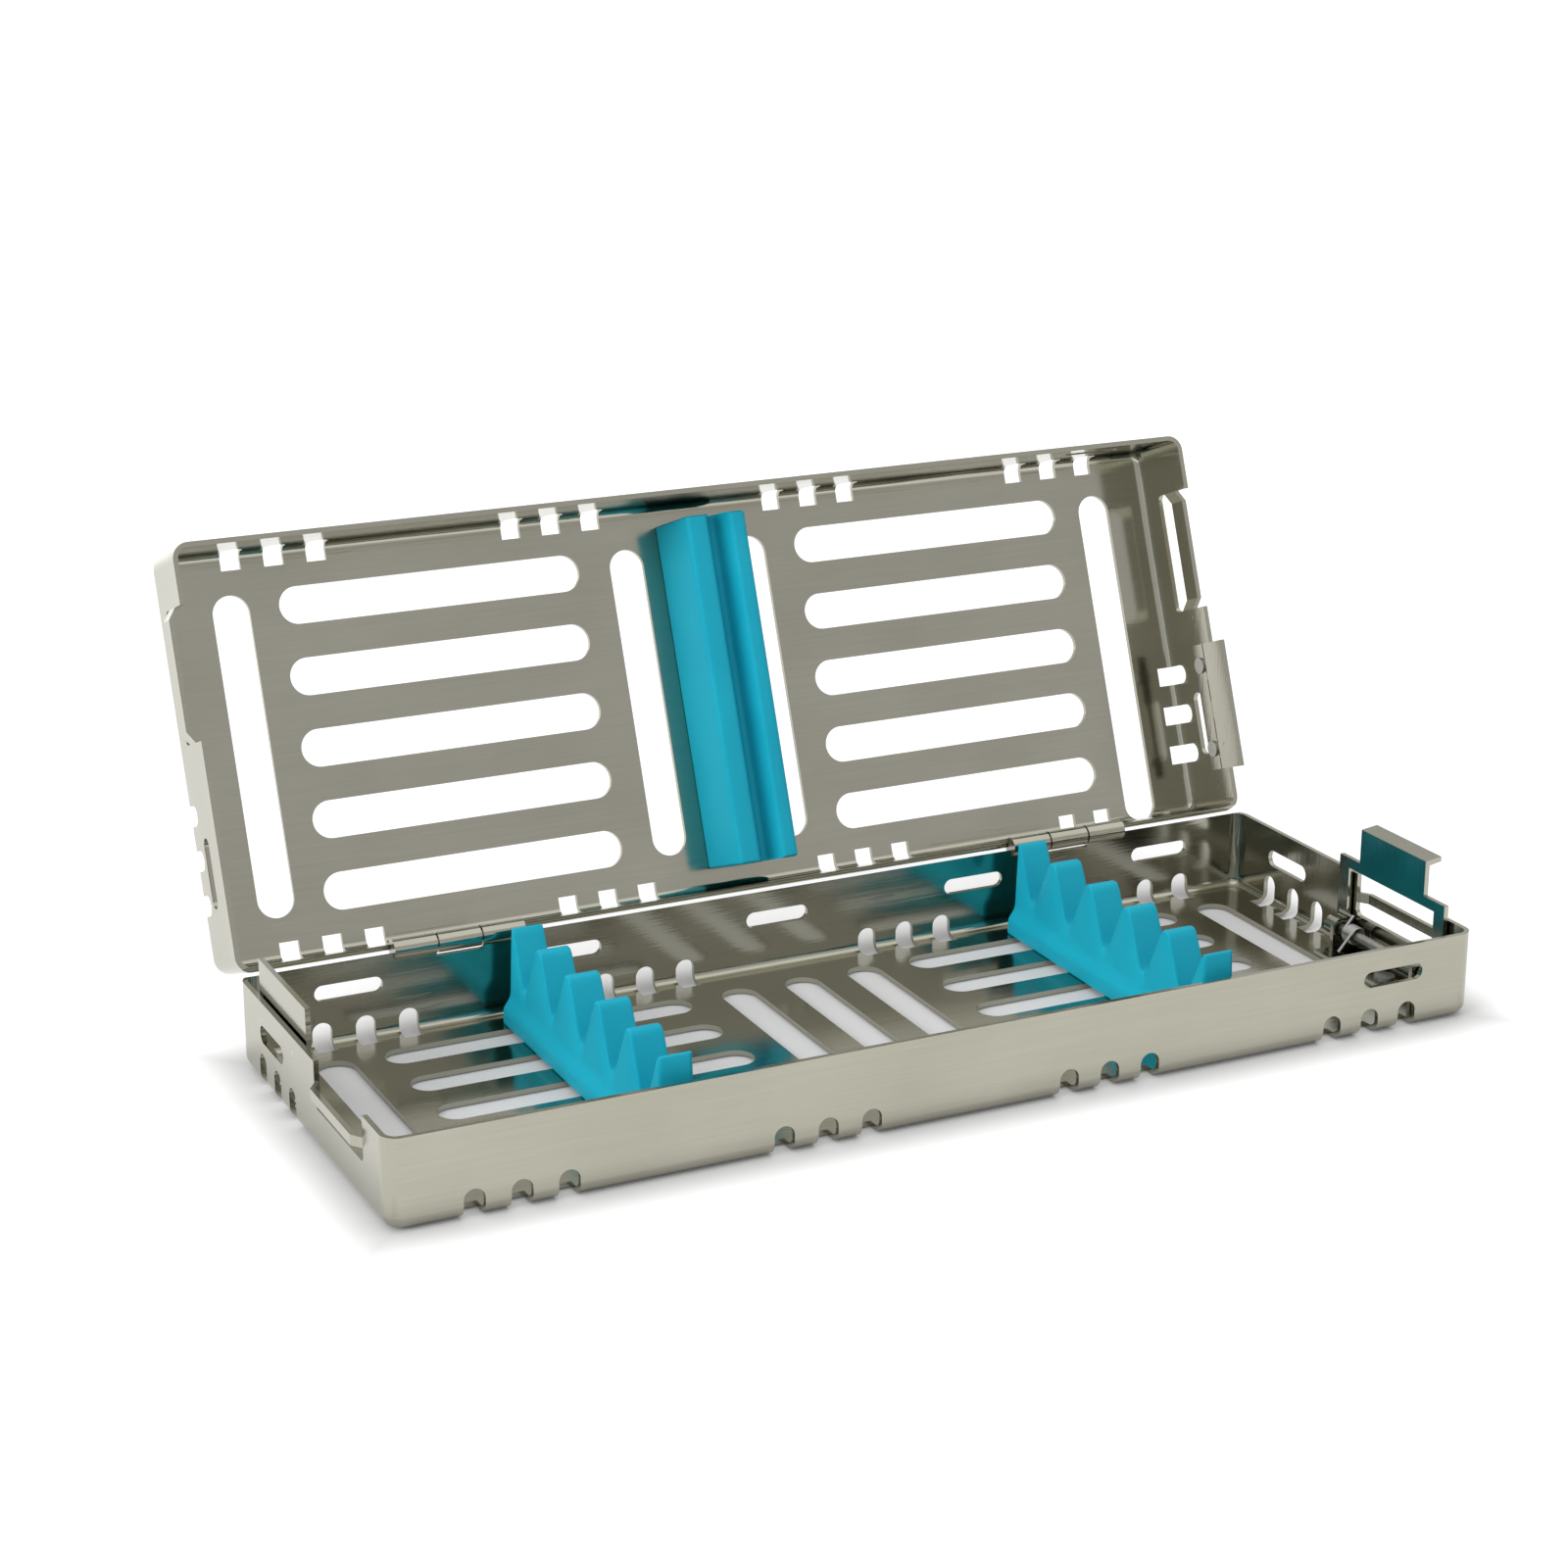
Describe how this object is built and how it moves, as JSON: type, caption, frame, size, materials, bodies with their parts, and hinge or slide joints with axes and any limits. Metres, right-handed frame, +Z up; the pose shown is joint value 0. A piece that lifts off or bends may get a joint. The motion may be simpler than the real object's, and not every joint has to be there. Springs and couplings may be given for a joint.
{
  "type": "instrument cassette",
  "caption": "Perforated sheet steel cassette for hand instruments, lid open on its rear hinges, with combed silicone rails and a spring latch.",
  "frame": {"origin": "middle of the underside of the tray, on the plane it stands on", "axes": "+X along the length towards the latch end, +Y towards the hinge side, +Z up"},
  "size_m": [0.1824, 0.1028, 0.0757],
  "materials": {
    "stainless_sheet": "bright polished sheet with a fine grain",
    "stainless_pins": "turned and tumbled",
    "spring_steel": "bright drawn wire",
    "silicone": "satin turquoise silicone"
  },
  "bodies": {
    "tray": {"tray_shell": "stainless_sheet", "saddle_left": "silicone", "saddle_right": "silicone", "saddle_strip_left": "stainless_sheet", "saddle_strip_right": "stainless_sheet", "saddle_rivets": "stainless_pins", "hinge_pin_left": "stainless_pins", "hinge_pin_right": "stainless_pins", "tray_guide": "stainless_sheet", "tray_guide_rivets": "stainless_pins", "latch_bracket": "stainless_sheet", "latch_bracket_rivets": "stainless_pins", "latch_pin": "stainless_pins"},
    "lid": {"lid_shell": "stainless_sheet", "lid_pad": "silicone", "lid_pad_strip": "stainless_sheet", "lid_pad_rivets": "stainless_pins", "lid_guide": "stainless_sheet", "lid_guide_rivets": "stainless_pins"},
    "latch": {"latch_plate": "stainless_sheet", "latch_spring": "spring_steel"}
  },
  "joints": [
    {"name": "lid_hinge", "type": "hinge", "parent": "tray", "child": "lid", "pos_m": [0, 0.033, 0.01415], "axis": [1, 0, 0], "range_deg": [0, 111]},
    {"name": "latch_hinge", "type": "hinge", "parent": "tray", "child": "latch", "pos_m": [0.08724, -0.0132, 0.0044], "axis": [0, -1, 0], "range_deg": [0, 7], "stiffness_Nm_per_rad": 0.35, "springref_deg": -6.88}
  ]
}
